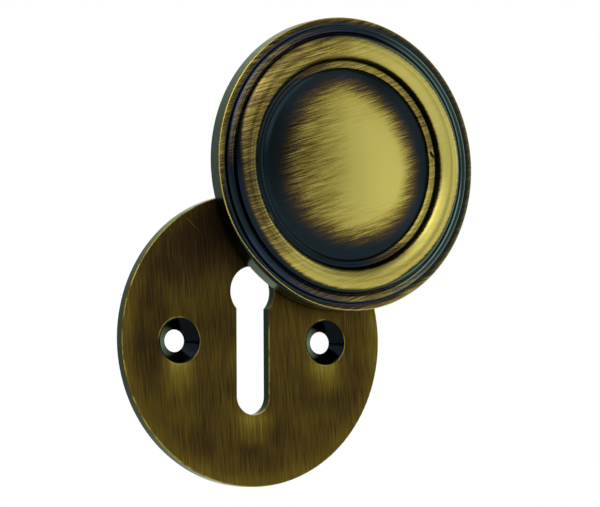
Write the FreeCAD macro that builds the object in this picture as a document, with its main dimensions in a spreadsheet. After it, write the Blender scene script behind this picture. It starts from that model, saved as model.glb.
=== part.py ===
"""Covered keyhole escutcheon: a round back plate with a keyhole and two countersunk screw holes,
and a round turned cover that swings on one rivet above the keyhole.

Every piece is drawn as it lies on the bench: its back on the XY plane, its face towards +Z and
its top towards +Y. The assembly is then stood up against the door, so that its face looks
towards -Y and its top towards +Z. The origin is on the plate's back, midway between the screws.
"""

import FreeCAD, Part
import math
import os

import Sketcher

# Driving dimensions, in millimetres and degrees.
SIZES = {
    # Back plate. Heights up the door are measured from the row of screws.
    "plate_radius": 25.0,
    "plate_rise": 0.3,
    "plate_thickness": 2.0,
    "plate_edge_round": 0.25,
    "screw_offset": 14.2,
    "screw_hole_diameter": 3.8,
    "countersink_diameter": 7.5,
    "countersink_lip_round": 0.4,
    "key_round_radius": 4.3,
    "key_round_rise": 8.55,
    "key_slot_half_width": 3.15,
    "key_foot_drop": 9.3,
    "key_lip_round": 0.15,
    # Swinging cover. Heights are measured from its own back face.
    "cover_radius": 25.4,
    "cover_gap": 0.75,
    "rim_height": 3.0,
    "rim_edge_round": 0.15,
    "rim_inner": 24.3,
    "groove_floor": 2.65,
    "low_bead_outer": 24.0,
    "low_bead_inner": 22.9,
    "low_bead_centre": 2.55,
    "ring_outer": 22.6,
    "ring_inner": 18.05,
    "ring_centre": 2.65,
    "high_bead_outer": 17.9,
    "high_bead_inner": 16.8,
    "high_bead_centre": 2.65,
    "dome_outer": 16.35,
    "dome_edge": 2.9,
    "dome_crown": 4.6,
    "hollow_crown": 2.1,
    "hollow_edge": 1.1,
    "hollow_outer": 14.0,
    "hollow_mouth": 15.0,
    # Pivot. The rivet is tight in the cover and turns in the plate.
    "pivot_to_middle": 19.85,
    "open_angle": 122.1,
    "rivet_radius": 2.0,
    "rivet_depth_in_cover": 3.0,
    "rivet_head_radius": 3.4,
    "rivet_head_sink": 0.05,
    "pivot_clearance": 0.05,
    "rivet_seat_diameter": 7.0,
    # Dished spring washer between the plate and the cover.
    "washer_inner": 2.2,
    "washer_outer": 4.2,
    "washer_gauge": 0.3,
    "washer_dish": 0.43,
}
CONE_ANGLE = 90.0

# Sums of sizes that more than one piece needs.
PIVOT_RISE = "plate_rise + pivot_to_middle"
PIVOT_BORE = "rivet_radius + pivot_clearance"

# How a sketch names its own origin and axes, and the points of a piece of geometry.
ORIGIN = (-1, 1)
LEVEL_AXIS, UPRIGHT_AXIS = -1, -2
START, END, CENTRE = 1, 2, 3

document = FreeCAD.newDocument("escutcheon")


def make_sheet():
    """The driving dimensions, one named cell each."""
    sheet = document.addObject("Spreadsheet::Sheet", "sizes")
    for row, (name, value) in enumerate(SIZES.items(), start=1):
        sheet.set("A%d" % row, name)
        sheet.set("B%d" % row, str(value))
        sheet.setAlias("B%d" % row, name)
    document.recompute()


def amount(text):
    """The value of a sum of sizes, such as "plate_thickness + cover_gap"."""
    total = 0.0
    sign = 1
    for word in text.split():
        if word in ("+", "-"):
            sign = 1 if word == "+" else -1
        else:
            total += sign * SIZES[word]
    return total


def bound(text):
    """The same sum of sizes, as an expression on the sheet's cells."""
    return " ".join(word if word in ("+", "-") else "sizes." + word for word in text.split())


def point(across, up):
    return FreeCAD.Vector(across, up, 0)


def new_body(label):
    body = document.addObject("PartDesign::Body", label)
    body.Label = label
    return body


def new_sketch(body, name, role, height=None, face_down=False):
    """A sketch on one of the body's own planes, lifted to a height if one is named."""
    plane = next(feature for feature in body.Origin.OriginFeatures if feature.Role == role)
    sketch = body.newObject("Sketcher::SketchObject", name)
    sketch.AttachmentSupport = [(plane, "")]
    sketch.MapMode = "FlatFace"
    sketch.MapReversed = face_down
    if height:
        sketch.setExpression("AttachmentOffset.Base.z", bound(height))
    document.recompute()
    return sketch


def hold(sketch, kind, places, text):
    """One driving constraint, bound to the sheet."""
    number = sketch.addConstraint(Sketcher.Constraint(kind, *places, amount(text)))
    sketch.setExpression("Constraints[%d]" % number, bound(text))


def hold_point(sketch, geometry, which, across, up):
    """Holds a point by its two distances from the origin, or on the axis where one is None."""
    for kind, text, axis in (("DistanceX", across, UPRIGHT_AXIS), ("DistanceY", up, LEVEL_AXIS)):
        if text is None:
            sketch.addConstraint(Sketcher.Constraint("PointOnObject", geometry, which, axis))
        else:
            hold(sketch, kind, (*ORIGIN, geometry, which), text)


def draw_circle(sketch, across, up, diameter=None, radius=None):
    """A circle whose place and size are sums of sizes."""
    centre = point(amount(across or ""), amount(up or ""))
    reach = amount(radius) if radius else amount(diameter) / 2
    circle = sketch.addGeometry(Part.Circle(centre, FreeCAD.Vector(0, 0, 1), reach))
    hold_point(sketch, circle, CENTRE, across, up)
    if radius:
        hold(sketch, "Radius", (circle,), radius)
    else:
        hold(sketch, "Diameter", (circle,), diameter)


def arc_between(start, end, centre):
    """The anticlockwise arc from start to end round centre."""
    first = math.atan2(start.y - centre.y, start.x - centre.x)
    last = math.atan2(end.y - centre.y, end.x - centre.x)
    circle = Part.Circle(centre, FreeCAD.Vector(0, 0, 1), start.distanceToPoint(centre))
    return Part.ArcOfCircle(circle, first, last)


def centre_on_axis(start, end):
    """The point on the axis that is as far from start as from end."""
    rise = start.y - end.y
    return point(0, (start.y + end.y) / 2 + (start.x**2 - end.x**2) / (2 * rise))


def centre_at_height(start, end, height):
    """The point at a height that is as far from start as from end."""
    middle = (start + end) * 0.5
    along = end - start
    return point(middle.x - (height - middle.y) * along.y / along.x, height)


def draw_section(sketch, corners):
    """A closed half section for turning, clockwise from the axis.

    Each corner is (radius, height, bow). Radius and height are sums of sizes, or None on an axis.
    bow says how the section runs on to the next corner: None is straight, "axis" is an arc bowed
    upwards about a centre on the axis, and a size is one about a centre at that height.
    """
    spots = [point(amount(across or ""), amount(up or "")) for across, up, _ in corners]
    runs = []
    for start, end, (_, _, bow) in zip(spots, spots[1:] + spots[:1], corners):
        if bow is None:
            runs.append((sketch.addGeometry(Part.LineSegment(start, end)), START, END))
            continue
        if bow == "axis":
            centre = centre_on_axis(start, end)
        else:
            centre = centre_at_height(start, end, amount(bow))
        if start.x > end.x:
            runs.append((sketch.addGeometry(arc_between(start, end, centre)), START, END))
        else:
            runs.append((sketch.addGeometry(arc_between(end, start, centre)), END, START))

    for (run, _, finish), (following, begin, _) in zip(runs, runs[1:] + runs[:1]):
        sketch.addConstraint(Sketcher.Constraint("Coincident", run, finish, following, begin))
    for (across, up, bow), (run, begin, _) in zip(corners, runs):
        hold_point(sketch, run, begin, across, up)
        if bow == "axis":
            sketch.addConstraint(Sketcher.Constraint("PointOnObject", run, CENTRE, UPRIGHT_AXIS))
        elif bow:
            hold(sketch, "DistanceY", (*ORIGIN, run, CENTRE), bow)


def turn(body, name, corners):
    """Turns a half section, drawn in the XZ plane, about the body's own Z axis."""
    sketch = new_sketch(body, name + "_section", "XZ_Plane")
    draw_section(sketch, corners)
    document.recompute()
    solid = body.newObject("PartDesign::Revolution", name)
    solid.Profile = sketch
    solid.ReferenceAxis = (sketch, ["V_Axis"])
    solid.Angle = 360
    document.recompute()
    return solid


def is_level(edge, height):
    box = edge.BoundBox
    return math.isclose(box.ZMin, height, abs_tol=1e-4) and math.isclose(box.ZMax, height, abs_tol=1e-4)


def round_edges(body, name, base, chosen, size):
    """Rounds the edges of base that chosen picks out."""
    edges = ["Edge%d" % n for n, edge in enumerate(base.Shape.Edges, start=1) if chosen(edge)]
    fillet = body.newObject("PartDesign::Fillet", name)
    fillet.Base = (base, edges)
    fillet.setExpression("Radius", bound(size))
    document.recompute()


def cut_pocket(body, name, sketch, depth=None):
    """Cuts a sketch's outline upwards out of the body, right through where no depth is given."""
    before = body.Shape.Volume
    pocket = body.newObject("PartDesign::Pocket", name)
    pocket.Profile = sketch
    pocket.Reversed = True
    if depth:
        pocket.setExpression("Length", bound(depth))
    else:
        pocket.Type = "ThroughAll"
    document.recompute()
    if body.Shape.Volume >= before:
        raise RuntimeError(name + " cut nothing")
    return pocket


def drill_countersunk(body, name, sketch, bore, mouth):
    """Drills right through at the sketch's circles and countersinks the sketch's side."""
    before = body.Shape.Volume
    hole = body.newObject("PartDesign::Hole", name)
    hole.Profile = sketch
    document.recompute()
    hole.Threaded = False
    hole.DepthType = "ThroughAll"
    hole.HoleCutType = "Countersink"
    hole.HoleCutCustomValues = True
    hole.HoleCutCountersinkAngle = CONE_ANGLE
    hole.setExpression("Diameter", bound(bore))
    hole.setExpression("HoleCutDiameter", bound(mouth))
    document.recompute()
    if body.Shape.Volume >= before:
        raise RuntimeError(name + " cut nothing")
    return hole


def draw_keyhole(sketch):
    """The keyhole: a round top for the key's shank over a slot for its bit, with a round foot."""
    radius = amount("key_round_radius")
    half = amount("key_slot_half_width")
    rise = "key_round_rise"
    drop = "- key_foot_drop"
    middle = point(0, amount(rise))
    foot = point(0, amount(drop))
    neck = middle.y - math.sqrt(radius**2 - half**2)
    right, left = point(half, neck), point(-half, neck)
    low_left, low_right = point(-half, foot.y), point(half, foot.y)

    top = sketch.addGeometry(arc_between(right, left, middle))
    left_side = sketch.addGeometry(Part.LineSegment(left, low_left))
    bottom = sketch.addGeometry(arc_between(low_left, low_right, foot))
    right_side = sketch.addGeometry(Part.LineSegment(low_right, right))
    loop = (top, left_side, bottom, right_side)
    for first, second in zip(loop, loop[1:] + loop[:1]):
        sketch.addConstraint(Sketcher.Constraint("Coincident", first, END, second, START))
    for side in (left_side, right_side):
        sketch.addConstraint(Sketcher.Constraint("Vertical", side))
    for tip in (START, END):
        sketch.addConstraint(Sketcher.Constraint("Horizontal", bottom, tip, bottom, CENTRE))
    hold_point(sketch, top, CENTRE, None, rise)
    hold_point(sketch, bottom, CENTRE, None, drop)
    hold(sketch, "Radius", (top,), "key_round_radius")
    hold(sketch, "Radius", (bottom,), "key_slot_half_width")


def make_back_plate():
    """A flat round blank, pierced for the key, countersunk for two screws and for the rivet."""
    body = new_body("back_plate")
    outline = new_sketch(body, "plate_outline", "XY_Plane")
    draw_circle(outline, None, "plate_rise", radius="plate_radius")
    blank = body.newObject("PartDesign::Pad", "plate_blank")
    blank.Profile = outline
    blank.setExpression("Length", bound("plate_thickness"))
    document.recompute()
    front = amount("plate_thickness")
    round_edges(body, "plate_edge", blank, lambda edge: is_level(edge, front), "plate_edge_round")

    keyhole = new_sketch(body, "keyhole_outline", "XY_Plane")
    draw_keyhole(keyhole)
    pierced = cut_pocket(body, "keyhole", keyhole)

    def on_keyhole(edge):
        smaller = edge.BoundBox.XLength < amount("plate_radius")
        return smaller and is_level(edge, front)

    round_edges(body, "keyhole_lip", pierced, on_keyhole, "key_lip_round")

    screws = new_sketch(body, "screw_places", "XY_Plane", height="plate_thickness")
    for side in ("- screw_offset", "screw_offset"):
        draw_circle(screws, side, None, diameter="screw_hole_diameter")
    drilled = drill_countersunk(
        body, "screw_holes", screws, "screw_hole_diameter", "countersink_diameter"
    )

    def on_countersink(edge):
        mouth = math.isclose(edge.BoundBox.XLength, amount("countersink_diameter"), abs_tol=1e-3)
        return mouth and is_level(edge, front)

    round_edges(body, "screw_lips", drilled, on_countersink, "countersink_lip_round")

    pivot = new_sketch(body, "pivot_place", "XY_Plane", face_down=True)
    draw_circle(pivot, None, PIVOT_RISE, radius=PIVOT_BORE)
    bore = PIVOT_BORE + " + " + PIVOT_BORE
    drill_countersunk(body, "pivot_seat", pivot, bore, "rivet_seat_diameter")
    return body


def make_swing_cover():
    """The turned cover: rim, low bead, broad ring, high bead and dome in front, hollow behind."""
    body = new_body("swing_cover")
    turned = turn(
        body,
        "cover_turning",
        [
            (None, "hollow_crown", None),
            (None, "dome_crown", "axis"),
            ("dome_outer", "dome_edge", None),
            ("high_bead_inner", "groove_floor", "high_bead_centre"),
            ("high_bead_outer", "groove_floor", None),
            ("ring_inner", "groove_floor", "ring_centre"),
            ("ring_outer", "groove_floor", None),
            ("low_bead_inner", "groove_floor", "low_bead_centre"),
            ("low_bead_outer", "groove_floor", None),
            ("rim_inner", "rim_height", None),
            ("cover_radius", "rim_height", None),
            ("cover_radius", None, None),
            ("hollow_mouth", None, None),
            ("hollow_outer", "hollow_edge", "axis"),
        ],
    )

    def on_rim(edge):
        widest = math.isclose(edge.BoundBox.XLength, 2 * amount("cover_radius"), abs_tol=1e-3)
        return widest and (is_level(edge, 0) or is_level(edge, amount("rim_height")))

    round_edges(body, "rim_edges", turned, on_rim, "rim_edge_round")

    socket = new_sketch(body, "rivet_socket_place", "XY_Plane")
    draw_circle(socket, None, "pivot_to_middle", radius="rivet_radius")
    cut_pocket(body, "rivet_socket", socket, "rivet_depth_in_cover")
    return body


def make_pivot_rivet():
    """The rivet: a plain stud in the cover, its tail spread into the seat behind the plate."""
    body = new_body("pivot_rivet")
    tip = "plate_thickness + cover_gap + rivet_depth_in_cover"
    neck = "rivet_head_sink + rivet_head_radius - rivet_radius"
    turn(
        body,
        "rivet_turning",
        [
            (None, "rivet_head_sink", None),
            (None, tip, None),
            ("rivet_radius", tip, None),
            ("rivet_radius", neck, None),
            ("rivet_head_radius", "rivet_head_sink", None),
        ],
    )
    return body


def make_spring_washer():
    """The dished washer that gives the swing its drag: inner edge on the plate, outer edge up."""
    body = new_body("spring_washer")
    turn(
        body,
        "washer_turning",
        [
            ("washer_inner", "plate_thickness", None),
            ("washer_inner", "plate_thickness + washer_gauge", None),
            ("washer_outer", "plate_thickness + washer_dish + washer_gauge", None),
            ("washer_outer", "plate_thickness + washer_dish", None),
        ],
    )
    return body


def stand_up(plate, cover, rivet, washer):
    """Puts each piece in its place on the bench, turns the cover open, and stands all upright."""
    upright = FreeCAD.Placement(FreeCAD.Vector(), FreeCAD.Rotation(FreeCAD.Vector(1, 0, 0), 90))
    pivot = FreeCAD.Vector(0, amount(PIVOT_RISE), 0)
    swing = FreeCAD.Rotation(FreeCAD.Vector(0, 0, 1), amount("open_angle"))
    opened = FreeCAD.Placement(FreeCAD.Vector(), swing, pivot)
    on_pivot = FreeCAD.Placement(pivot, FreeCAD.Rotation())
    over_plate = FreeCAD.Vector(0, amount("plate_rise"), amount("plate_thickness + cover_gap"))
    closed = FreeCAD.Placement(over_plate, FreeCAD.Rotation())
    plate.Placement = upright
    cover.Placement = upright * opened * closed
    rivet.Placement = upright * on_pivot
    washer.Placement = upright * on_pivot
    document.recompute()


def check(pieces):
    """Stops if any object failed, or any piece is empty or not one sound solid."""
    for thing in document.Objects:
        if "Invalid" in thing.State or "Error" in thing.State:
            raise RuntimeError(thing.Name + " failed")
    for piece in pieces:
        shape = piece.Shape
        if shape.isNull() or not shape.isValid() or len(shape.Solids) != 1:
            raise RuntimeError(piece.Label + " is not one sound solid")


def main():
    make_sheet()
    pieces = [make_back_plate(), make_swing_cover(), make_pivot_rivet(), make_spring_washer()]
    stand_up(*pieces)
    check(pieces)
    os.makedirs("parts", exist_ok=True)
    for piece in pieces:
        piece.Shape.exportStep("parts/%s.step" % piece.Label)
        print("%s: %.1f cubic mm" % (piece.Label, piece.Shape.Volume))


main()
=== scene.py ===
"""Looks of a covered keyhole escutcheon in aged brass: its finishes, studio light and camera."""

import logging
import math
from collections.abc import Iterable
from dataclasses import dataclass
from enum import Enum
from typing import NamedTuple

import bpy
from mathutils import Matrix, Vector


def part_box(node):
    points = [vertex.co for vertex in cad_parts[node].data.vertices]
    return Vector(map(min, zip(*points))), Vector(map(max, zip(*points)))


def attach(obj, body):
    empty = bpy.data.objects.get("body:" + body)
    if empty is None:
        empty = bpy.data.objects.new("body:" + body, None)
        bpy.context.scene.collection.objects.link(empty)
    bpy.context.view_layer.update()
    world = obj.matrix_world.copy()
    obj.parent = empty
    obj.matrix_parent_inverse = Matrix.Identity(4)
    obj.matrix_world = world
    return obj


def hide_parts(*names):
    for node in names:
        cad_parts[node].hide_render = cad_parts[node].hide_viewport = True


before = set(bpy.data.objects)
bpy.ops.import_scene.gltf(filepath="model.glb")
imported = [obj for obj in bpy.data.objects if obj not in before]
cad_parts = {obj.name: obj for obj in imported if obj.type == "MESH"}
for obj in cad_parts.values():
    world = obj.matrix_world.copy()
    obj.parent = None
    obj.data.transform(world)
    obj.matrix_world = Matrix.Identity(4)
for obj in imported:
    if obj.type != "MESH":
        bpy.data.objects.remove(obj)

MM = 0.001
log = logging.getLogger("escutcheon")

# What makes a node ease in and out of a change, and not run straight through it.
SOFT = {"interpolation_type": "SMOOTHSTEP"}

# A Mix node's sockets where it mixes colours, and where it mixes plain amounts.
SHARE, UNDER, OVER, MIXED = 0, 6, 7, 2
LOW, HIGH = 2, 3

Feed = bpy.types.Node | bpy.types.NodeSocket | float | tuple[float, ...] | None
Stop = tuple[float, tuple[float, float, float, float]]


class Node(Enum):
    """The CAD nodes."""

    PLATE = "back_plate"
    COVER = "swing_cover"
    RIVET = "pivot_rivet"
    WASHER = "spring_washer"


class Body(Enum):
    """What moves as one, where a new piece rides on it."""

    COVER = "cover"


class Slot(Enum):
    """The record's material slots."""

    COVER = "cover_brass"


class Span(NamedTuple):
    """A change from one amount to another while a measure goes from its start to its end."""

    start: float
    end: float
    first: float = 0.0
    last: float = 1.0


def colour(text: str) -> tuple[float, float, float, float]:
    """Turns an sRGB hex value into linear red, green, blue and alpha.

    Args:
        text: The colour, such as "BDB058".

    Returns:
        The linear colour, with an alpha of 1.
    """
    shades = (int(text[place : place + 2], 16) / 255 for place in (0, 2, 4))
    linear = (s / 12.92 if s <= 0.04045 else ((s + 0.055) / 1.055) ** 2.4 for s in shades)
    return (*linear, 1.0)


def add(
    tree: bpy.types.NodeTree,
    kind: str,
    *feeds: Feed,
    named: dict[int | str, Feed] | None = None,
    stops: Iterable[Stop] = (),
    **settings: object,
) -> bpy.types.Node:
    """Adds one node with its settings and links.

    Args:
        tree: The node tree that gets it.
        kind: The node's type, without its "ShaderNode" beginning.
        feeds: What its inputs are given, in order: a node's first output or a socket to link,
            a value, or None to leave the input as it is.
        named: The same for inputs that are picked out by name or number.
        stops: Positions and colours, for a colour ramp.
        settings: Properties of the node.

    Returns:
        The node.
    """
    node = tree.nodes.new("ShaderNode" + kind)
    for name, value in settings.items():
        setattr(node, name, value)
    for name, feed in (dict(enumerate(feeds)) | (named or {})).items():
        if isinstance(feed, bpy.types.Node):
            feed = feed.outputs[0]
        if isinstance(feed, bpy.types.NodeSocket):
            tree.links.new(feed, node.inputs[name])
        elif feed is not None:
            node.inputs[name].default_value = feed
    for number, (position, shade) in enumerate(stops):
        elements = node.color_ramp.elements
        if number >= len(elements):
            elements.new(position)
        elements[number].position = position
        elements[number].color = shade
    return node


def new_material(name: str) -> bpy.types.Material:
    """Makes an empty node material.

    Args:
        name: The finish's name.

    Returns:
        The material, whose node tree is clear.
    """
    material = bpy.data.materials.new(name)
    material.use_nodes = True
    material.node_tree.nodes.clear()
    return material


@dataclass(frozen=True)
class BrushLines:
    """The straight lines that a belt or brush leaves on a face, drawn as drawn-out noise.

    Sizes are in millimetres. The real grit's lines are a few hundredths of a millimetre wide, too
    fine to show in the render, so they are drawn coarser, as wide as they need to be to show.
    """

    lean: float
    length: float
    width: float
    shift: float = 0.0
    detail: float = 2.0
    depth: float = 20.0
    roughness: float = 0.6

    def draw(self, tree: bpy.types.NodeTree) -> bpy.types.Node:
        """Adds the lines.

        Args:
            tree: The node tree.

        Returns:
            A noise node, about 0.5 on average.
        """
        along = add(
            tree,
            "Mapping",
            add(tree, "TexCoord").outputs["Object"],
            (self.shift, 0.0, -self.shift),
            (0.0, -math.radians(self.lean), 0.0),
            (self.length * MM, self.depth * MM, self.width * MM),
            vector_type="TEXTURE",
        )
        grain = {"Scale": 1.0, "Detail": self.detail, "Roughness": self.roughness}
        return add(tree, "TexNoise", along, named=grain)

    def across(self, tree: bpy.types.NodeTree) -> bpy.types.Node:
        """The direction square to the lines, along which the shine spreads.

        Args:
            tree: The node tree.

        Returns:
            A node whose output is that direction.
        """
        turn = math.radians(self.lean + 90)
        return add(
            tree,
            "VectorTransform",
            (math.cos(turn), 0.0, math.sin(turn)),
            vector_type="VECTOR",
            convert_from="OBJECT",
            convert_to="WORLD",
        )


@dataclass(frozen=True)
class Mark:
    """One scratch, speck or soft patch, as a long or round spot. Sizes are in millimetres."""

    across: float
    up: float
    lean: float
    length: float
    width: float
    edge: Span = Span(1.0, 0.4)
    depth: float = 1000.0

    def draw(self, tree: bpy.types.NodeTree, place: bpy.types.Node) -> bpy.types.Node:
        """Adds the mark.

        Args:
            tree: The node tree.
            place: Each point's place in millimetres, in the same measure as the mark's own.

        Returns:
            A node that gives 1 in the mark's middle and 0 off it.
        """
        spot = add(
            tree,
            "Mapping",
            place,
            (self.across, 0.0, self.up),
            (0.0, -math.radians(self.lean), 0.0),
            (self.length / 2, self.depth, self.width / 2),
            vector_type="TEXTURE",
        )
        reach = add(tree, "VectorMath", spot, operation="LENGTH").outputs["Value"]
        return add(tree, "MapRange", reach, *self.edge, **SOFT)


@dataclass(frozen=True)
class CoverPoint:
    """Where a shaded point of the cover is, from the middle of its back.

    Lengths are in millimetres. The turn is anticlockwise from the right, in whole turns.
    """

    place: bpy.types.Node
    x: bpy.types.NodeSocket
    y: bpy.types.NodeSocket
    z: bpy.types.NodeSocket
    radius: bpy.types.NodeSocket
    turn: bpy.types.Node

    @classmethod
    def about(cls, tree: bpy.types.NodeTree, centre: Vector) -> "CoverPoint":
        """Adds the nodes that find it.

        Args:
            tree: The node tree.
            centre: The middle of the cover's back face, in metres.

        Returns:
            The nodes' outputs.
        """
        spot = add(tree, "TexCoord").outputs["Object"]
        place = add(tree, "Mapping", spot, tuple(-centre / MM), None, (1 / MM,) * 3)
        x, y, z = add(tree, "SeparateXYZ", place).outputs
        flat = add(tree, "CombineXYZ", x, 0.0, z)
        radius = add(tree, "VectorMath", flat, operation="LENGTH").outputs["Value"]
        turn = add(tree, "Math", z, x, operation="ARCTAN2")
        turn = add(tree, "Math", turn, math.tau, operation="DIVIDE")
        return cls(place, x, y, z, radius, add(tree, "Math", turn, operation="FRACT"))


@dataclass(frozen=True)
class TonedBrass:
    """Brass that was toned dark in a bath, and what its two finishes have in common."""

    name: str
    fine: BrushLines
    coarse: BrushLines

    BACK = colour("3E3827")
    MOTTLE = Span(0.3, 0.7, 0.3, 1.0)

    def blend(
        self, tree: bpy.types.NodeTree, start: Feed, *parts: tuple[bpy.types.Node, float]
    ) -> bpy.types.Node:
        """Adds patterns up into streaks.

        Args:
            tree: The node tree.
            start: What the sum starts from.
            parts: Each pattern and its weight.

        Returns:
            The sum's node.
        """
        total = start
        for pattern, weight in parts:
            total = add(tree, "Math", pattern, weight, total, operation="MULTIPLY_ADD")
        return total

    def lay(
        self,
        tree: bpy.types.NodeTree,
        base: Feed,
        *coats: tuple[bpy.types.Node, tuple[float, ...]],
    ) -> bpy.types.NodeSocket:
        """Lays further colours over a colour.

        Args:
            tree: The node tree.
            base: The colour underneath.
            coats: How much of each further colour there is, and that colour.

        Returns:
            The mixed colour.
        """
        for share, shade in coats:
            sockets = {SHARE: share, UNDER: base, OVER: shade}
            base = add(tree, "Mix", named=sockets, data_type="RGBA").outputs[MIXED]
        return base

    def mottle(
        self, tree: bpy.types.NodeTree, pattern: bpy.types.Node, back: bpy.types.Node
    ) -> bpy.types.Node:
        """How much of the back's own tone shows, since it was left as the bath made it.

        Args:
            tree: The node tree.
            pattern: The coarse lines.
            back: What is 1 on the back and 0 elsewhere.

        Returns:
            The share's node.
        """
        share = add(tree, "MapRange", pattern, *self.MOTTLE)
        return add(tree, "Math", share, back, operation="MULTIPLY")


@dataclass(frozen=True)
class CoverBrass(TonedBrass):
    """Brass, turned, toned blue-black, relieved on a belt and lacquered.

    The tone stays glossy and near black in the hollows. Where the belt touched, it turns brown and
    streaky and then gives way to bright satin brass. The dome, the high bead and the ring are darker
    on the left, partly as the belt wore them less there and partly as painted shade, and a painted
    blue sheen and painted teal glints lighten some of the mouldings. Lengths are in millimetres from
    the middle of the back, and amounts are shares of bare brass unless a comment says otherwise.
    """

    name: str = "toned_relieved_brass"
    fine: BrushLines = BrushLines(17.0, 3.6, 0.1, 0.0, 2.0)
    coarse: BrushLines = BrushLines(20.0, 7.0, 0.28, 0.31, 1.0)

    # The noise that breaks the lines up, and each pattern's weight in the streaks.
    speckle_scale: float = 5.0
    streak_start: float = -0.5
    fine_weight: float = 0.65
    coarse_weight: float = 0.2
    speckle_weight: float = 0.15

    # The dome: how it fades to the left, partly as real wear and partly as painted shade, at its
    # foot, and at its top and bottom.
    dome_lean: tuple[float, float, float] = (1.0, 0.0, 0.04)
    dome_fade: Span = Span(-15.5, 0.0, 0.08, 1.0)
    dome_power: float = 0.72
    dome_reach: tuple[float, float] = (11.0, 15.0)
    dome_foot: Span = Span(-2.8, 3.0)
    dome_ends: Span = Span(4.0, 11.0, 1.0, 0.92)

    # The ring: where its wear starts, from right to left, and how far out it reaches.
    ring_start: Span = Span(5.0, -12.0, 18.25, 17.9)
    ring_rise: Span = Span(0.0, 0.35)
    ring_reach: tuple[float, float] = (20.5, 22.5)
    ring_fall: Span = Span(-0.25, 0.45)
    between_beads: float = 20.0

    # The rim: the bright line along its edge, and where its face turns into its wall.
    lip_reach: tuple[float, float] = (25.3, 24.7)
    lip_line: Span = Span(0.04, 0.13, 0.95, 0.0)
    rim_corner: Span = Span(-2.74, -2.84)

    # Where the front begins, and the size of the back.
    front: Span = Span(-2.25, -2.6)
    back_radius: float = 25.25

    # How much the lines swing the wear where the tone is half gone, and elsewhere.
    swing: tuple[float, float] = (9.0, 0.15)

    # A nick in the ring, on the right, with the dark tone left in it.
    nick: Mark = Mark(17.05, 2.3, -58.0, 1.7, 0.6)
    nick_depth: float = -1.6

    # Where the painted teal glint sets in, from left to right.
    painted_glint_side: Span = Span(4.0, 14.0)

    # The shine: the toned hollows are smoother than the belt's satin and than the back.
    roughness: Span = Span(0.2, 0.7, 0.22, 0.36)
    back_roughness: float = 0.18
    anisotropy: float = 0.6
    lacquer: float = 0.4
    lacquer_roughness: float = 0.3

    SLANT = colour("F4FFE6")
    PAINTED_SHEEN_BLUE = colour("343E54")
    PAINTED_GLINT_TEAL = colour("7E9C94")
    TONES = (
        (0.00, colour("1B262B")),
        (0.10, colour("24282A")),
        (0.25, colour("40331F")),
        (0.45, colour("5E4F26")),
        (0.65, colour("8A7A31")),
        (0.85, colour("AC9E46")),
        (1.00, colour("BFB359")),
    )

    # Round the face, by angle in degrees anticlockwise from the right: how far out the dome's wear
    # goes, as a share of its reach, how bare the high bead and the rim's face are, and how far inside
    # the rim's edge the bright line runs, as a share of its reach. The high bead is barer on the
    # right than on the left, partly as real wear and partly as painted shade.
    DOME_AND_RIM = (
        (0, 0.4, 0.75, 0.27, 0.0),
        (12, 0.3, 0.6, 0.27, 0.0),
        (35, 0.2625, 0.5, 0.27, 0.0),
        (60, 0.3875, 0.65, 0.22, 0.0),
        (90, 0.65, 0.64, 0.48, 0.0),
        (110, 0.65, 0.3, 0.34, 0.0),
        (130, 0.6, 0.1, 0.44, 0.0),
        (150, 0.525, 0.0, 0.5, 0.0),
        (180, 0.625, 0.0, 0.58, 0.0),
        (200, 0.625, 0.0, 0.05, 0.0),
        (210, 0.6, 0.0, 0.02, 0.2),
        (218, 0.575, 0.0, 0.02, 0.55),
        (230, 0.525, 0.0, 0.03, 0.95),
        (240, 0.475, 0.0, 0.05, 0.85),
        (250, 0.4625, 0.0, 0.15, 0.55),
        (270, 0.4, 0.0, 0.33, 0.25),
        (285, 0.4125, 0.1, 0.5, 0.0),
        (300, 0.475, 0.28, 0.62, 0.0),
        (320, 0.525, 0.75, 0.28, 0.0),
        (360, 0.4, 0.75, 0.27, 0.0),
    )

    # Round the face again: how bare the ring and the low bead are, how far out the ring's wear goes,
    # as a share of its reach, and how strongly the painted blue sheen shows round the low bead. The
    # ring is barer on the right than on the left, partly as real wear and partly as painted shade.
    RING_AND_LOW_BEAD = (
        (0, 1.0, 0.03, 0.58, 0.0),
        (30, 0.98, 0.03, 0.42, 0.0),
        (60, 1.0, 0.03, 0.45, 0.1),
        (75, 0.92, 0.03, 0.55, 0.3),
        (92, 0.77, 0.02, 0.74, 0.5),
        (110, 0.58, 0.15, 0.84, 0.8),
        (122, 0.56, 0.38, 0.92, 0.7),
        (135, 0.52, 0.42, 0.97, 0.6),
        (165, 0.48, 0.42, 0.87, 0.7),
        (178, 0.42, 0.25, 0.66, 0.5),
        (185, 0.38, 0.0, 0.6, 0.1),
        (210, 0.44, 0.0, 0.6, 0.1),
        (215, 0.5, 0.0, 0.62, 0.7),
        (236, 0.85, 0.03, 0.66, 0.8),
        (250, 0.93, 0.36, 0.67, 0.6),
        (270, 0.86, 0.46, 0.66, 0.6),
        (288, 0.9, 0.5, 0.64, 0.4),
        (302, 0.9, 0.36, 0.42, 0.1),
        (320, 0.95, 0.03, 0.42, 0.0),
        (360, 1.0, 0.03, 0.58, 0.0),
    )

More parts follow.
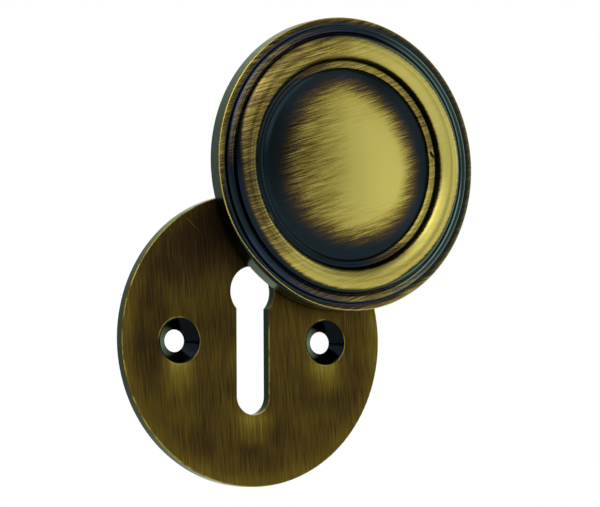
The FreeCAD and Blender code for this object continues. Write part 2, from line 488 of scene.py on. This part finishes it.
    # Across the mouldings, by radius: how much painted blue sheen there can be, what of the beads and
    # of the rim stands high enough for the belt, and how much painted teal glint there is.
    SECTION = (
        (16.5, 0, 0, 0, 0),
        (16.7, 0, 1, 0, 0),
        (18.12, 0, 1, 0, 0),
        (18.18, 0, 0, 0, 0),
        (21.6, 0, 0, 0, 0),
        (21.8, 0, 0, 0, 0.45),
        (22.3, 0, 0, 0, 0.45),
        (22.4, 0.9, 0.3, 0, 0.1),
        (22.5, 0.9, 0.7, 0, 0.2),
        (22.65, 0.6, 1, 0, 0.45),
        (22.85, 0.5, 1, 0, 0.45),
        (23.0, 0.4, 1, 0, 0.08),
        (23.5, 0.4, 1, 0, 0.08),
        (23.62, 0.6, 1, 0, 0.45),
        (23.75, 0.8, 0.8, 0, 0.45),
        (23.95, 1, 0, 0, 0),
        (24.25, 0.8, 0, 0.3, 0),
        (24.5, 0, 0, 0.5, 0.05),
        (24.95, 0, 0, 1, 0.05),
    )

    # What the whole of each table stands for, in degrees and in millimetres.
    FULL_TURN = 360
    SECTION_REACH = 26.0

    def make(self, centre: Vector) -> bpy.types.Material:
        """Makes the material.

        Args:
            centre: The middle of the cover's back face, in metres.

        Returns:
            The material.
        """
        material = new_material(self.name)
        tree = material.node_tree
        at = CoverPoint.about(tree, centre)
        across = add(tree, "Math", at.radius, self.SECTION_REACH, operation="DIVIDE")
        reach, high_bead, rim, inset = self.read(
            tree, at.turn, self.DOME_AND_RIM, self.FULL_TURN
        )
        ring, low_bead, ring_end, blue = self.read(
            tree, at.turn, self.RING_AND_LOW_BEAD, self.FULL_TURN
        )
        painted_sheen, beads, face, painted_glint = self.read(tree, across, self.SECTION, self.SECTION_REACH)

        # How bare each part is. On the dome, the high bead and the ring this is partly painted shade,
        # darker on the left.
        inner = add(tree, "Math", at.radius, self.between_beads, operation="LESS_THAN")
        bead = add(tree, "Mix", named={SHARE: inner, LOW: low_bead, HIGH: high_bead})
        wear_and_shade = add(tree, "Math", beads, bead, operation="MULTIPLY")
        for part in (
            self.dome_wear_and_shade(tree, at, reach),
            self.ring_wear_and_shade(tree, at, ring, ring_end),
            self.wear_rim(tree, at, add(tree, "Math", face, rim, operation="MULTIPLY"), inset),
        ):
            wear_and_shade = add(tree, "Math", wear_and_shade, part, operation="MAXIMUM")
        front = add(tree, "MapRange", at.y, *self.front, **SOFT)
        wear_and_shade = add(tree, "Math", wear_and_shade, front, operation="MULTIPLY")
        left = add(tree, "Math", 1.0, wear_and_shade, operation="SUBTRACT")

        # The belt's lines show most where the tone is half gone.
        fine = self.fine.draw(tree)
        coarse = self.coarse.draw(tree)
        grain = {"Scale": self.speckle_scale, "Detail": 1.0}
        speckle = add(tree, "TexNoise", at.place, named=grain)
        streak = self.blend(
            tree,
            self.streak_start,
            (fine, self.fine_weight),
            (coarse, self.coarse_weight),
            (speckle, self.speckle_weight),
        )
        half = add(tree, "Math", wear_and_shade, left, operation="MULTIPLY")
        swing = add(tree, "Math", half, *self.swing, operation="MULTIPLY_ADD")
        swing = add(tree, "Math", swing, front, operation="MULTIPLY")
        worn_and_shaded = add(tree, "Math", streak, swing, wear_and_shade, operation="MULTIPLY_ADD")
        nick = self.nick.draw(tree, at.place)
        worn_and_shaded = add(
            tree, "Math", nick, self.nick_depth, worn_and_shaded, operation="MULTIPLY_ADD", use_clamp=True
        )

        # Painted reflections: a blue sheen in the mouldings round the low bead, and teal glints in
        # the mouldings on the right. The back was toned as it came off the lathe, so it is satin and
        # slightly uneven.
        painted_sheen = add(tree, "Math", painted_sheen, left, operation="MULTIPLY")
        painted_sheen = add(tree, "Math", painted_sheen, blue, operation="MULTIPLY")
        painted_sheen = add(tree, "Math", painted_sheen, front, operation="MULTIPLY")
        right = add(tree, "MapRange", at.x, *self.painted_glint_side, **SOFT)
        painted_glint = add(tree, "Math", painted_glint, right, operation="MULTIPLY")
        painted_glint = add(tree, "Math", painted_glint, front, operation="MULTIPLY")
        back = add(tree, "Math", at.radius, self.back_radius, operation="LESS_THAN")
        behind = add(tree, "Math", 1.0, front, operation="SUBTRACT")
        back = add(tree, "Math", back, behind, operation="MULTIPLY")
        base = self.lay(
            tree,
            add(tree, "ValToRGB", worn_and_shaded, stops=self.TONES),
            (painted_sheen, self.PAINTED_SHEEN_BLUE),
            (painted_glint, self.PAINTED_GLINT_TEAL),
            (self.mottle(tree, coarse, back), self.BACK),
        )

        rough = add(tree, "MapRange", worn_and_shaded, *self.roughness)
        rough = add(tree, "Math", back, self.back_roughness, rough, operation="MULTIPLY_ADD")
        looks = {
            "Base Color": base,
            "Metallic": 1.0,
            "Roughness": rough,
            "Anisotropic": self.anisotropy,
            "Specular Tint": self.SLANT,
            "Coat Weight": add(tree, "Math", worn_and_shaded, self.lacquer, operation="MULTIPLY"),
            "Coat Roughness": self.lacquer_roughness,
            "Tangent": self.fine.across(tree),
        }
        add(tree, "OutputMaterial", add(tree, "BsdfPrincipled", named=looks))
        return material

    def read(
        self,
        tree: bpy.types.NodeTree,
        measure: bpy.types.Node,
        table: Iterable[tuple[float, ...]],
        whole: float,
    ) -> tuple[bpy.types.NodeSocket, ...]:
        """Reads four amounts at once off a table, held in a colour ramp.

        Args:
            tree: The node tree.
            measure: Where in the table to read, from 0 to 1.
            table: Rows of a place in the table and four amounts.
            whole: The place that a measure of 1 stands for.

        Returns:
            The four amounts.
        """
        stops = [(place / whole, tuple(amounts)) for place, *amounts in table]
        ramp = add(tree, "ValToRGB", measure, stops=stops)
        return (*add(tree, "SeparateColor", ramp).outputs, ramp.outputs["Alpha"])

    def dome_wear_and_shade(
        self, tree: bpy.types.NodeTree, at: CoverPoint, reach: bpy.types.NodeSocket
    ) -> bpy.types.Node:
        """How bare the dome is: it fades to the left, partly as real wear and partly as painted
        shade, and all round at its foot.

        Args:
            tree: The node tree.
            at: The point.
            reach: How far out the dome's wear goes, as a share.

        Returns:
            The share's node.
        """
        lean = add(tree, "VectorMath", at.place, self.dome_lean, operation="DOT_PRODUCT")
        fade = add(tree, "MapRange", lean.outputs["Value"], *self.dome_fade)
        fade = add(tree, "Math", fade, self.dome_power, operation="POWER")
        least, most = self.dome_reach
        foot = add(tree, "Math", reach, most - least, least, operation="MULTIPLY_ADD")
        foot = add(tree, "Math", foot, at.radius, operation="SUBTRACT")
        foot = add(tree, "MapRange", foot, *self.dome_foot, **SOFT)
        ends = add(tree, "Math", at.z, operation="ABSOLUTE")
        ends = add(tree, "MapRange", ends, *self.dome_ends, **SOFT)
        dome = add(tree, "Math", fade, foot, operation="MULTIPLY")
        return add(tree, "Math", dome, ends, operation="MULTIPLY")

    def ring_wear_and_shade(
        self,
        tree: bpy.types.NodeTree,
        at: CoverPoint,
        bare: bpy.types.NodeSocket,
        reach: bpy.types.NodeSocket,
    ) -> bpy.types.Node:
        """How bare the ring is, from its inner flank out to where the belt let go, with painted shade
        on the left.

        Args:
            tree: The node tree.
            at: The point.
            bare: How bare the ring is at that angle, partly as painted shade.
            reach: How far out the ring's wear goes, as a share.

        Returns:
            The share's node.
        """
        start = add(tree, "MapRange", at.x, *self.ring_start)
        start = add(tree, "Math", at.radius, start, operation="SUBTRACT")
        start = add(tree, "MapRange", start, *self.ring_rise, **SOFT)
        least, most = self.ring_reach
        end = add(tree, "Math", reach, most - least, least, operation="MULTIPLY_ADD")
        end = add(tree, "Math", end, at.radius, operation="SUBTRACT")
        end = add(tree, "MapRange", end, *self.ring_fall, **SOFT)
        ring = add(tree, "Math", start, end, operation="MULTIPLY")
        return add(tree, "Math", ring, bare, operation="MULTIPLY")

    def wear_rim(
        self,
        tree: bpy.types.NodeTree,
        at: CoverPoint,
        face: bpy.types.Node,
        inset: bpy.types.NodeSocket,
    ) -> bpy.types.Node:
        """How bare the rim is: its face, and a bright line along its edge.

        Args:
            tree: The node tree.
            at: The point.
            face: How bare the rim's face is.
            inset: How far inside the edge the line runs, as a share.

        Returns:
            The share's node.
        """
        least, most = self.lip_reach
        line = add(tree, "Math", inset, most - least, least, operation="MULTIPLY_ADD")
        line = add(tree, "Math", at.radius, line, operation="SUBTRACT")
        line = add(tree, "Math", line, operation="ABSOLUTE")
        line = add(tree, "MapRange", line, *self.lip_line)
        rim = add(tree, "Math", face, line, operation="MAXIMUM")
        corner = add(tree, "MapRange", at.y, *self.rim_corner, **SOFT)
        return add(tree, "Math", rim, corner, operation="MULTIPLY")


@dataclass(frozen=True)
class PlateBrass(TonedBrass):
    """Sheet brass, brushed upright, toned olive brown and lacquered.

    The brush left the face satin and streaky. The face is lighter towards the rim, where it was
    rubbed, and below the holes, and darker towards the top as painted shade. The walls of the holes
    and of the rim kept the glossy black tone. Lengths are in millimetres.
    """

    name: str = "toned_sheet_brass"
    fine: BrushLines = BrushLines(91.0, 6.0, 0.1)
    coarse: BrushLines = BrushLines(97.0, 10.0, 0.26, 0.17)

    # Soft clouds 8 mm across, and each pattern's weight in the tone.
    cloud_scale: float = 0.13
    tone_start: float = -0.3
    fine_weight: float = 0.66
    coarse_weight: float = 0.36
    cloud_weight: float = 0.4

    # The tone lightens towards the rim, and darkens towards the top as painted shade.
    rub: Span = Span(0.2, 3.5, 0.16, 0.0)
    top_shade: Span = Span(4.0, 22.0, 0.0, -0.28)

    # It also lightens round the foot of each hole, by distance, and below and beside its middle.
    foot_glow: Span = Span(0.0, 6.0, 0.42, 0.0)
    foot_below: Span = Span(-1.5, -4.2)
    foot_aside: Span = Span(1.0, 5.0, 1.0, 0.0)

    # The worn lips, and the noise that breaks them.
    lip: Span = Span(0.16, 0.05)
    lip_scale: float = 0.35
    lip_breaks: Span = Span(0.40, 0.58)
    lip_weight: float = 0.6

    # Where the walls begin, inside the edges and behind the front face, and the back.
    inside: Span = Span(0.0, -0.12)
    deep: Span = Span(-1.85, -1.7)
    back: Span = Span(-0.03, -0.01)
    hole_edge: float = 0.02

    roughness: Span = Span(0.0, 1.0, 0.42, 0.14)
    back_roughness: float = 0.24
    anisotropy: float = 0.75

    WALL = colour("0E1417")
    SLANT = colour("ECF7DF")
    HOLE_SLANT = colour("D8E4CF")
    TONES = (
        (0.0, colour("1D1510")),
        (0.3, colour("3F3019")),
        (0.6, colour("6B591F")),
        (1.0, colour("A5983C")),
    )

    # A darker patch at the left, a light scratch at the top left, and a speck with a dark ring.
    MARKS = (
        (Mark(-19.5, 1.5, 0.0, 10.0, 20.0), -0.14),
        (Mark(-11.73, 19.77, -42.0, 5.4, 0.22), 0.3),
        (Mark(-9.95, -10.8, 90.0, 0.7, 0.5), -0.25),
        (Mark(-9.95, -10.8, 90.0, 0.3, 0.25), 0.7),
    )

    def make(self, plate: "BackPlate") -> bpy.types.Material:
        """Makes the material.

        Args:
            plate: The plate, for its sizes.

        Returns:
            The material.
        """
        material = new_material(self.name)
        tree = material.node_tree
        spot = add(tree, "TexCoord").outputs["Object"]
        place = add(tree, "Mapping", spot, None, None, (1 / MM,) * 3)
        x, y, z = add(tree, "SeparateXYZ", place).outputs

        # How far each point is outside the keyhole, inside the rim, and from the nearer screw.
        near = add(tree, "Math", z, -plate.key_foot, operation="MAXIMUM")
        near = add(tree, "Math", near, plate.key_rise, operation="MINIMUM")
        near = add(tree, "Math", z, near, operation="SUBTRACT")
        slot = self.outside(tree, x, near, plate.slot_half)
        up = add(tree, "Math", z, plate.key_rise, operation="SUBTRACT")
        bow = self.outside(tree, x, up, plate.key_radius)
        key = add(tree, "Math", slot, bow, operation="MINIMUM")
        up = add(tree, "Math", z, plate.rise, operation="SUBTRACT")
        rim = self.outside(tree, x, up, plate.radius)
        rim = add(tree, "Math", 0.0, rim, operation="SUBTRACT")
        aside = add(tree, "Math", x, operation="ABSOLUTE")
        aside = add(tree, "Math", aside, plate.screw_offset, operation="SUBTRACT")
        screw = self.outside(tree, aside, z, plate.sink_radius)
        hole = add(tree, "Math", key, screw, operation="MINIMUM")
        edge = add(tree, "Math", hole, rim, operation="MINIMUM")

        # The tone: streaks, lighter towards the rim and below the holes, and the marks.
        coarse = self.coarse.draw(tree)
        grain = {"Scale": self.cloud_scale, "Detail": 2.0}
        tone = self.blend(
            tree,
            self.tone_start,
            (self.fine.draw(tree), self.fine_weight),
            (coarse, self.coarse_weight),
            (add(tree, "TexNoise", place, named=grain), self.cloud_weight),
        )
        rub = add(tree, "MapRange", rim, *self.rub, **SOFT)
        tone = add(tree, "Math", tone, rub, operation="ADD")
        for gap, across, foot in ((screw, aside, 0.0), (key, x, -plate.key_foot)):
            start, end, *share = self.foot_below
            glow = add(tree, "MapRange", gap, *self.foot_glow)
            below = add(tree, "MapRange", z, foot + start, foot + end, *share, **SOFT)
            across = add(tree, "Math", across, operation="ABSOLUTE")
            across = add(tree, "MapRange", across, *self.foot_aside, **SOFT)
            glow = add(tree, "Math", glow, below, operation="MULTIPLY")
            tone = add(tree, "Math", glow, across, tone, operation="MULTIPLY_ADD")
        marks = ((mark.draw(tree, place), amount) for mark, amount in self.MARKS)
        tone = self.blend(tree, tone, *marks)
        # Painted shade: the tone darkens towards the top.
        shade = add(tree, "MapRange", z, *self.top_shade, **SOFT)
        tone = add(tree, "Math", tone, shade, operation="ADD")

        # Worn lips, in broken thin lines.
        lip = add(tree, "MapRange", edge, *self.lip, **SOFT)
        noise = add(tree, "TexNoise", place, named={"Scale": self.lip_scale, "Detail": 3.0})
        breaks = add(tree, "MapRange", noise, *self.lip_breaks, **SOFT)
        lip = add(tree, "Math", lip, breaks, operation="MULTIPLY")
        tone = add(
            tree, "Math", lip, self.lip_weight, tone, operation="MULTIPLY_ADD", use_clamp=True
        )

        # The walls are glossy black from just inside each edge, and behind the front face. The
        # holes' walls, which no brush reached, shine less at a slant than the rim's. The back was
        # toned as it was rolled, so it is satin and slightly uneven.
        inside = add(tree, "MapRange", edge, *self.inside, **SOFT)
        deep = add(tree, "MapRange", y, *self.deep, **SOFT)
        wall = add(tree, "Math", inside, deep, operation="MAXIMUM")
        hole = add(tree, "Math", hole, self.hole_edge, operation="LESS_THAN")
        back = add(tree, "MapRange", y, *self.back)
        base = self.lay(
            tree,
            add(tree, "ValToRGB", tone, stops=self.TONES),
            (wall, self.WALL),
            (self.mottle(tree, coarse, back), self.BACK),
        )

        rough = add(tree, "MapRange", wall, *self.roughness)
        rough = add(tree, "Math", back, self.back_roughness, rough, operation="MULTIPLY_ADD")
        looks = {
            "Base Color": base,
            "Metallic": 1.0,
            "Roughness": rough,
            "Anisotropic": self.anisotropy,
            "Specular Tint": self.lay(tree, self.SLANT, (hole, self.HOLE_SLANT)),
            "Tangent": self.fine.across(tree),
        }
        add(tree, "OutputMaterial", add(tree, "BsdfPrincipled", named=looks))
        return material

    def outside(
        self,
        tree: bpy.types.NodeTree,
        across: bpy.types.Node | bpy.types.NodeSocket,
        up: bpy.types.Node | bpy.types.NodeSocket,
        radius: float,
    ) -> bpy.types.Node:
        """How far a point is outside a circle.

        Args:
            tree: The node tree.
            across: The point's place across from the circle's middle.
            up: Its place up from it.
            radius: The circle's radius.

        Returns:
            The distance's node, below 0 inside the circle.
        """
        reach = add(tree, "VectorMath", add(tree, "CombineXYZ", across, up), operation="LENGTH")
        return add(tree, "Math", reach.outputs["Value"], radius, operation="SUBTRACT")


@dataclass(frozen=True)
class PlainMetal:
    """The bare metal of a small fitting, with a slight grain where it was turned or pressed."""

    name: str
    dark: str
    light: str
    roughness: float
    grain: float = 900.0
    spread: tuple[float, float] = (0.3, 0.7)

    def make(self) -> bpy.types.Material:
        """Makes the material.

        Returns:
            The material.
        """
        material = new_material(self.name)
        tree = material.node_tree
        spot = add(tree, "TexCoord").outputs["Object"]
        noise = add(tree, "TexNoise", spot, named={"Scale": self.grain, "Detail": 3.0})
        stops = zip(self.spread, (colour(self.dark), colour(self.light)))
        base = add(tree, "ValToRGB", noise, stops=stops)
        looks = {"Base Color": base, "Metallic": 1.0, "Roughness": self.roughness}
        add(tree, "OutputMaterial", add(tree, "BsdfPrincipled", named=looks))
        return material


class Turning:
    """Half of a turned section, drawn point by point in edit mode, and then spun.

    Its points are given as a radius and a height in millimetres. The axis points at the viewer.
    """

    SMOOTH_ANGLE = 35
    SAME_POINT = 1e-7

    def __init__(self, name: str, centre: Vector, radius: float, height: float) -> None:
        """Starts the section with one point.

        Args:
            name: The new piece's name.
            centre: Where the axis meets height 0, in metres.
            radius: The first point's radius.
            height: The first point's height.
        """
        self.centre = centre
        self.radius = radius
        self.height = height
        bpy.ops.object.select_all(action="DESELECT")
        bpy.ops.mesh.primitive_plane_add(size=MM, location=self.spot(radius, height))
        self.piece = bpy.context.object
        self.piece.name = self.piece.data.name = name
        bpy.ops.object.transform_apply(location=True, rotation=True, scale=True)
        bpy.ops.object.mode_set(mode="EDIT")
        bpy.ops.mesh.select_mode(type="VERT")
        bpy.ops.mesh.select_all(action="SELECT")
        bpy.ops.mesh.merge(type="CENTER")

    def spot(self, radius: float, height: float) -> Vector:
        """A point's place in metres."""
        return self.centre + Vector((radius, -height, 0.0)) * MM

    def line(self, radius: float, height: float) -> None:
        """Runs straight on to a point."""
        step = self.spot(radius, height) - self.spot(self.radius, self.height)
        bpy.ops.mesh.extrude_region_move(TRANSFORM_OT_translate={"value": step})
        self.radius, self.height = radius, height

    def arc(self, radius: float, height: float, degrees: float, steps: int) -> None:
        """Runs on round a centre.

        Args:
            radius: The centre's radius.
            height: The centre's height.
            degrees: How far, anticlockwise with the radius to the right and the height upwards.
            steps: How many straight runs stand for the arc.
        """
        turn = math.radians(degrees)
        bpy.ops.mesh.spin(
            steps=steps, angle=turn, center=self.spot(radius, height), axis=(0, 0, 1)
        )
        across, up = self.radius - radius, self.height - height
        self.radius = radius + across * math.cos(turn) - up * math.sin(turn)
        self.height = height + across * math.sin(turn) + up * math.cos(turn)

    def spin(self, steps: int) -> bpy.types.Object:
        """Spins the section into a closed turned piece.

        Args:
            steps: How many faces there are round the axis.

        Returns:
            The piece.
        """
        bpy.ops.mesh.select_all(action="SELECT")
        bpy.ops.mesh.spin(
            steps=steps, angle=math.tau, center=self.centre, axis=(0, 1, 0), use_auto_merge=True
        )
        bpy.ops.mesh.select_all(action="SELECT")
        bpy.ops.mesh.remove_doubles(threshold=self.SAME_POINT)
        bpy.ops.mesh.normals_make_consistent(inside=False)
        bpy.ops.object.mode_set(mode="OBJECT")
        bpy.ops.object.shade_smooth_by_angle(angle=math.radians(self.SMOOTH_ANGLE))
        return self.piece


@dataclass
class BackPlate:
    """The flat round plate, whose CAD node is dressed as it is. Sizes are in millimetres."""

    radius: float = 25.0
    rise: float = 0.3
    screw_offset: float = 14.2
    sink_radius: float = 3.95
    key_radius: float = 4.3
    key_rise: float = 8.55
    key_foot: float = 9.3
    slot_half: float = 3.15

    def build(self) -> bpy.types.Object:
        """Dresses the plate.

        Returns:
            The piece.
        """
        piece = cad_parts[Node.PLATE.value]
        piece.material_slots[0].material = PlateBrass().make(self)
        return piece


@dataclass(frozen=True)
class Bead:
    """One bead of the cover's section, an arc with a foot on each side. Sizes in millimetres."""

    middle: float
    height: float
    size: float
    inner_foot: float
    outer_foot: float
    steps: int

    def ends(self) -> tuple[float, float]:
        """The radii at which its two feet stand."""
        inner, outer = (
            math.sqrt(self.size**2 - (foot - self.height) ** 2)
            for foot in (self.inner_foot, self.outer_foot)
        )
        return self.middle - inner, self.middle + outer

    def run(self, turning: Turning) -> None:
        """Runs a section on to the inner foot and over the crest to the outer foot."""
        turning.line(self.ends()[0], self.inner_foot)
        dips = (
            math.degrees(math.asin((foot - self.height) / self.size))
            for foot in (self.inner_foot, self.outer_foot)
        )
        turning.arc(self.middle, self.height, sum(dips) - 180, self.steps)


@dataclass(frozen=True)
class Cap:
    """A shallow spherical cap of the section, round the axis. Sizes in millimetres."""

    reach: float
    edge: float
    crown: float
    steps: int

    def run(self, turning: Turning, outwards: bool) -> None:
        """Runs a section over the cap.

        Args:
            turning: The section.
            outwards: Whether it goes from the crown to the edge, and not from the edge back.
        """
        rise = self.crown - self.edge
        sphere = (self.reach**2 + rise**2) / (2 * rise)
        sweep = math.degrees(math.asin(self.reach / sphere))
        turning.arc(0.0, self.crown - sphere, -sweep if outwards else sweep, self.steps)


@dataclass
class SwingCover:
    """The turned cover: rim, low bead, broad ring, high bead and dome, hollow behind.

    All sizes are in millimetres, and heights are measured from its own back face.
    """

    centre: Vector
    socket: Vector
    radius: float = 25.4
    rim_height: float = 3.0
    worn_edge: float = 0.2
    worn_edge_steps: int = 5
    back_edge: float = 0.15
    back_edge_steps: int = 4
    rim_inner: float = 24.3
    floor: float = 2.65
    low_bead: Bead = Bead(23.25, 3.0, 0.74, 3.28, 2.9, 18)
    ring: Bead = Bead(20.375, 2.65, 2.225, 2.65, 3.28, 36)
    high_bead: Bead = Bead(17.4, 2.1, 1.04, 2.85, 2.85, 14)
    dome: Cap = Cap(16.35, 2.9, 4.6, 28)
    hollow: Cap = Cap(14.0, 1.1, 2.1, 20)
    hollow_mouth: float = 15.0
    ridge_pitch: float = 0.42
    ridge_depth: float = 0.02
    ridge_steps: int = 4
    socket_radius: float = 2.0
    socket_depth: float = 3.0
    socket_sides: int = 64
    faces_round: int = 288

    def build(self) -> bpy.types.Object:
        """Builds and dresses the cover.

        Returns:
            The piece.
        """
        turning = Turning("cover_turning", self.centre, 0.0, self.dome.crown)
        self.dome.run(turning, outwards=True)
        turning.line(self.high_bead.ends()[0], self.floor)
        self.high_bead.run(turning)
        turning.line(self.high_bead.ends()[1], self.floor)
        self.ring.run(turning)
        self.low_bead.run(turning)
        turning.line(self.rim_inner, self.rim_height)
        corner = self.radius - self.worn_edge
        turning.line(corner, self.rim_height)
        turning.arc(corner, self.rim_height - self.worn_edge, -90, self.worn_edge_steps)
        self.ridges(turning)
        corner = self.radius - self.back_edge
        turning.arc(corner, self.back_edge, -90, self.back_edge_steps)
        turning.line(self.hollow_mouth, 0.0)
        turning.line(self.hollow.reach, self.hollow.edge)
        self.hollow.run(turning, outwards=False)
        piece = turning.spin(self.faces_round)
        self.bore(piece)
        piece.data.materials.clear()
        piece.data.materials.append(CoverBrass().make(self.centre))
        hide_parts(Node.COVER.value)
        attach(piece, Body.COVER.value)
        return piece

    def ridges(self, turning: Turning) -> None:
        """Draws the faint ridges that the tool left on the wall, down to the back edge."""
        top, foot = turning.height, self.back_edge
        count = round((top - foot) / self.ridge_pitch)
        for number in range(1, self.ridge_steps * count + 1):
            along = number / (self.ridge_steps * count)
            depth = self.ridge_depth * (1 - math.cos(math.tau * along * count)) / 2
            turning.line(self.radius - depth, top + (foot - top) * along)

    def bore(self, piece: bpy.types.Object) -> None:
        """Bores the blind socket that the rivet is tight in."""
        bpy.ops.object.select_all(action="DESELECT")
        depth = self.socket_depth * MM
        bpy.ops.mesh.primitive_cylinder_add(
            vertices=self.socket_sides,
            radius=self.socket_radius * MM,
            depth=2 * depth,
            location=self.socket,
            rotation=(math.pi / 2, 0.0, 0.0),
        )
        drill = bpy.context.object
        modifier = piece.modifiers.new("rivet_socket", "BOOLEAN")
        modifier.operation = "DIFFERENCE"
        modifier.solver = "EXACT"
        modifier.object = drill
        bpy.ops.object.select_all(action="DESELECT")
        bpy.context.view_layer.objects.active = piece
        piece.select_set(True)
        bpy.ops.object.modifier_apply(modifier=modifier.name)
        bpy.data.objects.remove(drill)


@dataclass
class PhotoCamera:
    """The photograph's camera, fitted to the outlines of the plate, the holes and the cover."""

    place: Vector = Vector((-280.15, -499.49, -20.99)) * MM
    right: Vector = Vector((0.86450, -0.50260, -0.00573))
    up: Vector = Vector((-0.02665, -0.05722, 0.99801))
    lens: float = 201.36
    sensor: float = 36.0

    def build(self) -> None:
        """Makes the camera and gives it to the scene."""
        data = bpy.data.cameras.new("photo_camera")
        data.lens = self.lens
        data.sensor_width = self.sensor
        data.sensor_fit = "HORIZONTAL"
        data.clip_start = 10 * MM
        camera = bpy.data.objects.new("photo_camera", data)
        bpy.context.scene.collection.objects.link(camera)
        back = self.right.cross(self.up)
        turn = Matrix((self.right, self.up, back)).transposed().to_4x4()
        camera.matrix_world = Matrix.Translation(self.place) @ turn
        bpy.context.scene.camera = camera


@dataclass
class Softbox:
    """One soft lamp, aimed at the middle of the object."""

    name: str
    azimuth: float
    elevation: float
    width: float
    height: float
    radiance: float
    tint: tuple[float, float, float]
    distance: float = 0.8

    def build(self, target: Vector) -> None:
        """Makes the lamp.

        Args:
            target: What it points at, in metres.
        """
        data = bpy.data.lights.new(self.name, "AREA")
        data.shape = "RECTANGLE"
        data.size = self.width
        data.size_y = self.height
        data.energy = self.radiance * math.pi * self.width * self.height
        data.color = self.tint
        lamp = bpy.data.objects.new(self.name, data)
        bpy.context.scene.collection.objects.link(lamp)
        turn, rise = math.radians(self.azimuth), math.radians(self.elevation)
        towards = Vector(
            (math.sin(turn) * math.cos(rise), -math.cos(turn) * math.cos(rise), math.sin(rise))
        )
        lamp.location = target + towards * self.distance
        lamp.rotation_euler = towards.to_track_quat("Z", "Y").to_euler()


@dataclass
class Studio:
    """A pale floor, white behind the object, a dim room in front, a dark card at the left."""

    floor_height: float = -0.1
    floor_size: float = 6.0
    floor_roughness: float = 0.6
    floor_glow: float = 0.9
    target: Vector = Vector((0.008, -0.003, 0.016))

    # The surround, by direction: the white wall, which comes round at the right, and the card.
    wall_round: float = 0.4
    wall: Span = Span(-0.1, 0.3)
    card_aside: Span = Span(-0.55, -0.8)
    card_back: Span = Span(0.6, 0.3)

    FLOOR = colour("E8E8E6")
    WHITE = (1.0, 1.0, 1.0, 1.0)
    ROOM = (0.24, 0.26, 0.28, 1.0)

    def build(self) -> None:
        """Makes the floor, the world and the lamps."""
        self.lay_floor()
        self.surround()
        lamps = [
            Softbox("key_lamp", -32, 42, 1.1, 0.8, 1.4, (1.0, 1.0, 0.98)),
            Softbox("left_lamp", -85, 52, 0.5, 0.5, 2.2, (0.97, 0.99, 1.0)),
            Softbox("front_lamp", 25, 32, 0.4, 0.4, 0.75, (1.0, 0.99, 0.95)),
            Softbox("right_lamp", 75, 22, 0.4, 0.4, 0.9, (1.0, 1.0, 0.98)),
            Softbox("low_lamp", 45, 8, 0.3, 0.4, 0.85, (1.0, 0.98, 0.93)),
        ]
        for lamp in lamps:
            lamp.build(self.target)

    def lay_floor(self) -> None:
        """Lays the floor, which glows softly where the camera or a shiny face looks at it."""
        bpy.ops.object.select_all(action="DESELECT")
        bpy.ops.mesh.primitive_plane_add(size=self.floor_size, location=(0.0, 0.0, self.floor_height))
        floor = bpy.context.object
        floor.name = "studio_floor"
        material = new_material("pale_floor")
        tree = material.node_tree
        looks = {"Base Color": self.FLOOR, "Roughness": self.floor_roughness}
        shader = add(tree, "BsdfPrincipled", named=looks)
        path = add(tree, "LightPath").outputs
        seen = add(tree, "Math", path["Is Camera Ray"], path["Is Glossy Ray"], operation="MAXIMUM")
        glow = add(tree, "Emission", self.WHITE, 1.0)
        share = add(tree, "Math", seen, self.floor_glow, operation="MULTIPLY")
        add(tree, "OutputMaterial", add(tree, "MixShader", share, shader, glow))
        floor.data.materials.append(material)

    def surround(self) -> None:
        """Makes the world: white behind the object, dim in front, and plain white to the camera."""
        world = bpy.data.worlds.new("studio_surround")
        bpy.context.scene.world = world
        world.use_nodes = True
        tree = world.node_tree
        tree.nodes.clear()
        direction = add(tree, "TexCoord").outputs["Generated"]
        x, y, _ = add(tree, "SeparateXYZ", direction).outputs
        right = add(tree, "Math", x, 0.0, operation="MAXIMUM")
        depth = add(tree, "Math", right, self.wall_round, y, operation="MULTIPLY_ADD")
        behind = add(tree, "MapRange", depth, *self.wall, **SOFT)
        aside = add(tree, "MapRange", x, *self.card_aside, **SOFT)
        card = add(tree, "MapRange", y, *self.card_back, **SOFT)
        card = add(tree, "Math", card, aside, operation="MULTIPLY")
        card = add(tree, "Math", 1.0, card, operation="SUBTRACT")
        behind = add(tree, "Math", behind, card, operation="MULTIPLY")
        seen = add(tree, "LightPath").outputs["Is Camera Ray"]
        white = add(tree, "Math", behind, seen, operation="MAXIMUM")
        sockets = {SHARE: white, UNDER: self.ROOM, OVER: self.WHITE}
        mixed = add(tree, "Mix", named=sockets, data_type="RGBA").outputs[MIXED]
        add(tree, "OutputWorld", add(tree, "Background", mixed, 1.0))


def main() -> None:
    """Builds and dresses the escutcheon, and sets its light and camera."""
    logging.basicConfig(level=logging.INFO, format="%(name)s: %(message)s")
    bpy.context.view_layer.update()
    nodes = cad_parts

    bpy.ops.object.select_all(action="DESELECT")
    PhotoCamera().build()
    Studio().build()

    low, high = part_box(Node.COVER.value)
    centre = Vector(((low.x + high.x) / 2, high.y, (low.z + high.z) / 2))
    low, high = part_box(Node.RIVET.value)
    socket = Vector(((low.x + high.x) / 2, centre.y, (low.z + high.z) / 2))
    cover = SwingCover(centre, socket).build()
    log.info("%s: %d faces", cover.name, len(cover.data.polygons))
    plate = BackPlate().build()
    log.info("%s: %d faces", plate.name, len(plate.data.polygons))

    # Turned brass is a dull gold. Pressed spring steel is a cold grey and a little shinier.
    rivet = PlainMetal("turned_brass", "6B5A2A", "8A7636", 0.3)
    washer = PlainMetal("spring_steel", "5E6064", "7C7E82", 0.28)
    for node, metal in ((Node.RIVET, rivet), (Node.WASHER, washer)):
        nodes[node.value].material_slots[0].material = metal.make()
        log.info("%s: %s", node.value, metal.name)
    bpy.context.scene.view_settings.view_transform = "Standard"
    bpy.context.view_layer.update()


if __name__ == "__main__":
    main()
